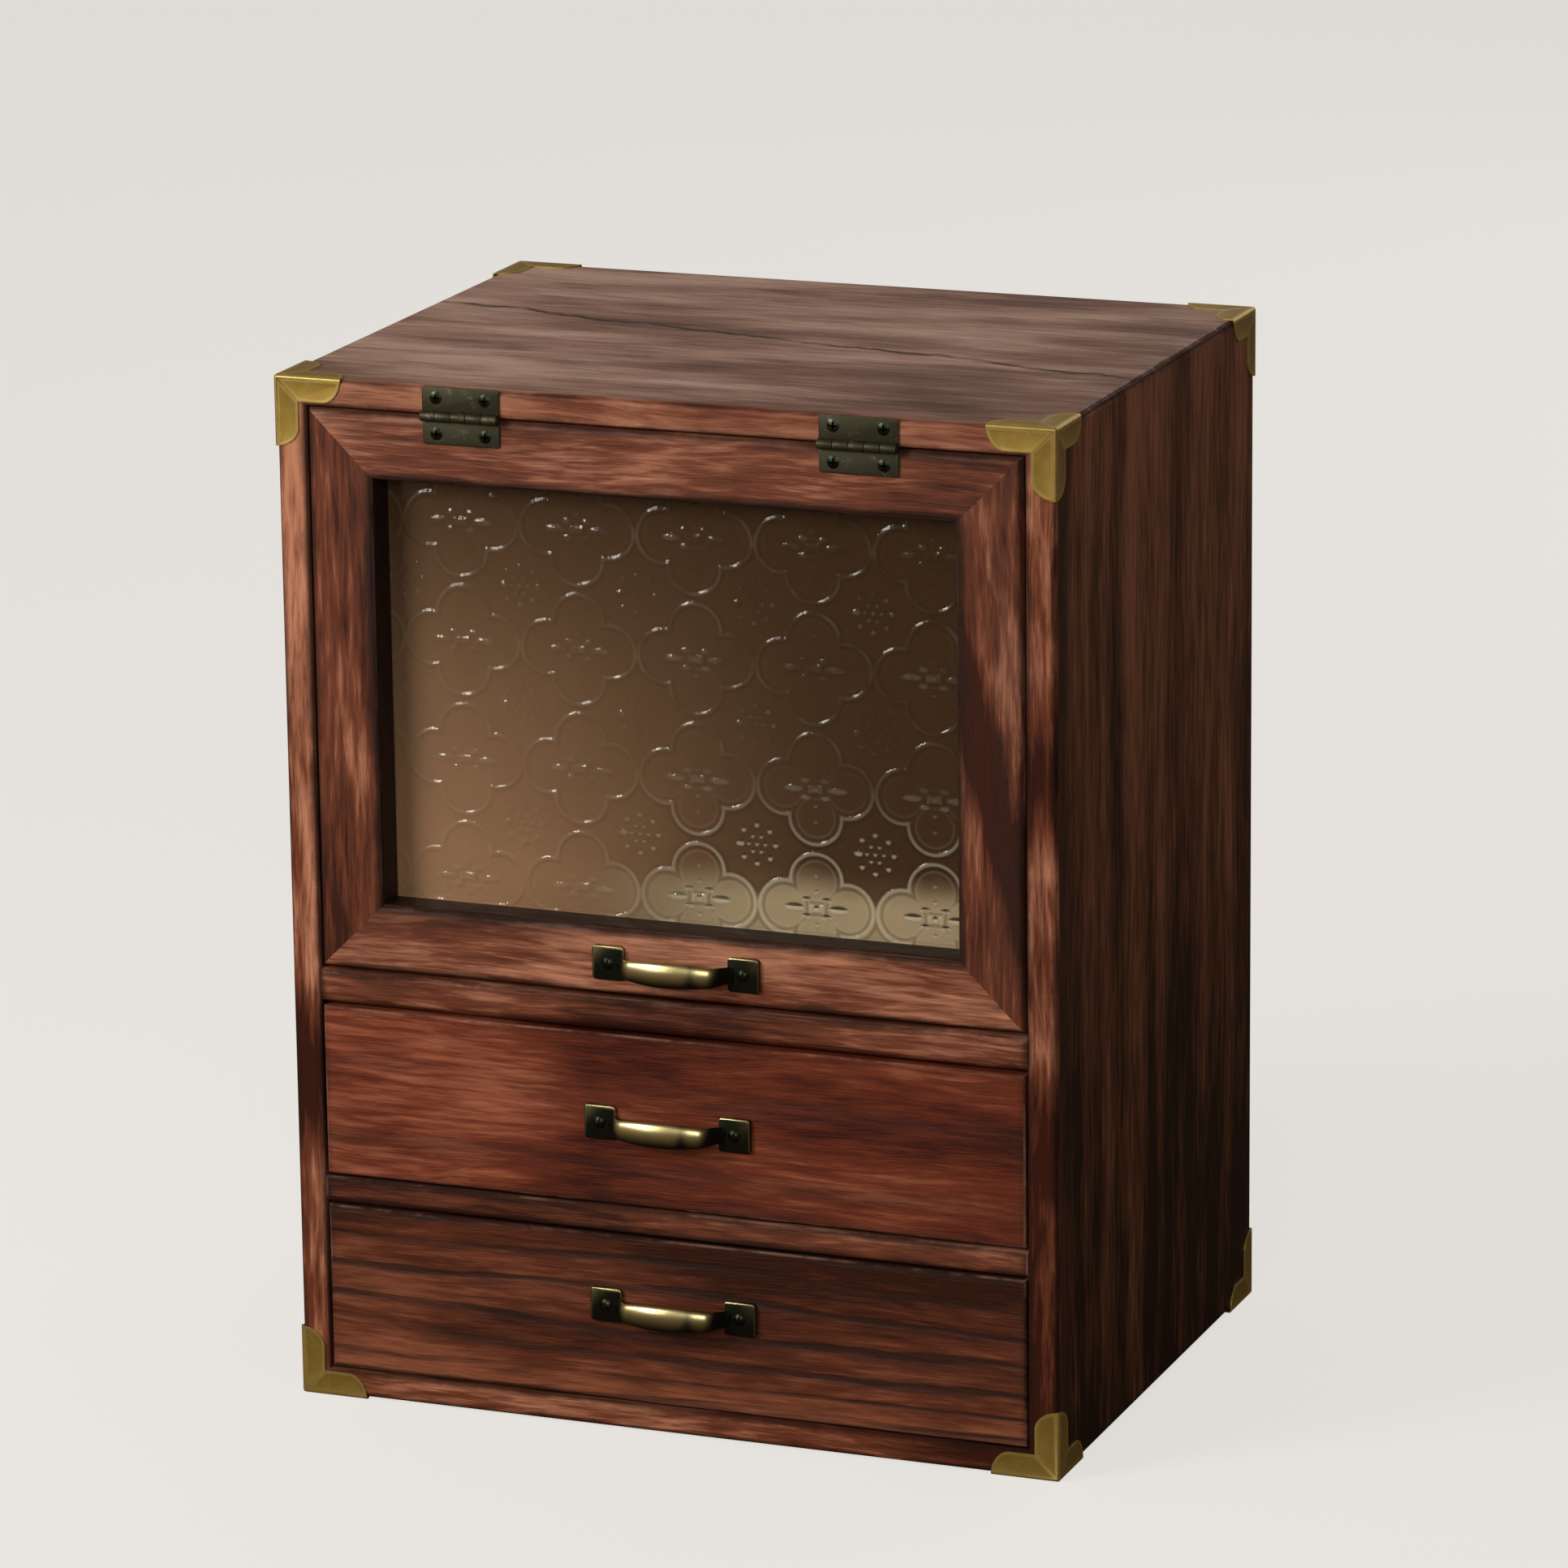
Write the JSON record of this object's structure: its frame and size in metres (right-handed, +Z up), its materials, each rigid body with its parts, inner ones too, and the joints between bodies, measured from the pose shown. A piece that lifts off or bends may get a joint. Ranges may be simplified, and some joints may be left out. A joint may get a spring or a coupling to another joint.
{
  "type": "makeup organizer",
  "caption": "Upright wooden box with a flip-up patterned glass door over an open compartment, drawers below with bow handles, and metal corner guards.",
  "frame": {"origin": "centre of the bounding box's footprint, on the surface the organizer stands on", "axes": "+X to the right seen from the front, +Y to the back, +Z up; the door and drawers face -Y"},
  "size_m": [0.29, 0.2314, 0.376],
  "materials": {
    "stained_wood": "satin varnish over dark red-brown stain",
    "drawer_wood": "matt stained, unvarnished",
    "thin_board": "matt stained thin board",
    "dowel_wood": "raw",
    "patterned_glass": "rolled relief, bronze tint",
    "guard_brass": "satin aged brass",
    "handle_bronze": "antique bronze, rubbed bright on the bow",
    "hinge_bronze": "dark antique bronze",
    "screw_bronze": "dark bronzed steel",
    "zinc_steel": "zinc plated",
    "magnet": "nickel plated"
  },
  "bodies": {
    "cabinet": {"top_panel": "stained_wood", "bottom_panel": "stained_wood", "left_side_panel": "stained_wood", "right_side_panel": "stained_wood", "middle_shelf": "stained_wood", "drawer_divider": "stained_wood", "shelf_dowels": "dowel_wood", "divider_dowels": "dowel_wood", "back_panel": "thin_board", "back_panel_nails": "zinc_steel", "corner_guard_front_top_left": "guard_brass", "corner_guard_front_top_right": "guard_brass", "corner_guard_front_bottom_left": "guard_brass", "corner_guard_front_bottom_right": "guard_brass", "corner_guard_back_top_left": "guard_brass", "corner_guard_back_top_right": "guard_brass", "corner_guard_back_bottom_left": "guard_brass", "corner_guard_back_bottom_right": "guard_brass", "left_hinge_upper_leaf": "hinge_bronze", "right_hinge_upper_leaf": "hinge_bronze", "left_hinge_pin": "hinge_bronze", "right_hinge_pin": "hinge_bronze", "cabinet_hinge_screws": "screw_bronze", "door_stop_strip": "stained_wood", "catch_magnet": "magnet"},
    "door": {"door_top_rail": "stained_wood", "door_bottom_rail": "stained_wood", "door_left_stile": "stained_wood", "door_right_stile": "stained_wood", "glass_pane": "patterned_glass", "glass_strip_top": "stained_wood", "glass_strip_bottom": "stained_wood", "glass_strip_left": "stained_wood", "glass_strip_right": "stained_wood", "glass_strip_brads": "zinc_steel", "door_handle": "handle_bronze", "door_handle_screws": "screw_bronze", "left_hinge_lower_leaf": "hinge_bronze", "right_hinge_lower_leaf": "hinge_bronze", "door_hinge_screws": "screw_bronze", "catch_strike_plate": "zinc_steel", "catch_strike_screw": "zinc_steel"},
    "upper_drawer": {"upper_drawer_front": "stained_wood", "upper_drawer_left_side": "drawer_wood", "upper_drawer_right_side": "drawer_wood", "upper_drawer_back": "drawer_wood", "upper_drawer_bottom": "thin_board", "upper_drawer_handle": "handle_bronze", "upper_drawer_handle_screws": "screw_bronze", "upper_drawer_nails": "zinc_steel"},
    "lower_drawer": {"lower_drawer_front": "stained_wood", "lower_drawer_left_side": "drawer_wood", "lower_drawer_right_side": "drawer_wood", "lower_drawer_back": "drawer_wood", "lower_drawer_bottom": "thin_board", "lower_drawer_handle": "handle_bronze", "lower_drawer_handle_screws": "screw_bronze", "lower_drawer_nails": "zinc_steel"}
  },
  "joints": [
    {"name": "door_hinge", "type": "hinge", "parent": "cabinet", "child": "door", "pos_m": [0, -0.10565, 0.36525], "axis": [-1, 0, 0], "range_deg": [0, 187]},
    {"name": "upper_drawer_slide", "type": "slide", "parent": "cabinet", "child": "upper_drawer", "axis": [0, -1, 0], "range_m": [0, 0.165]},
    {"name": "lower_drawer_slide", "type": "slide", "parent": "cabinet", "child": "lower_drawer", "axis": [0, -1, 0], "range_m": [0, 0.165]}
  ]
}
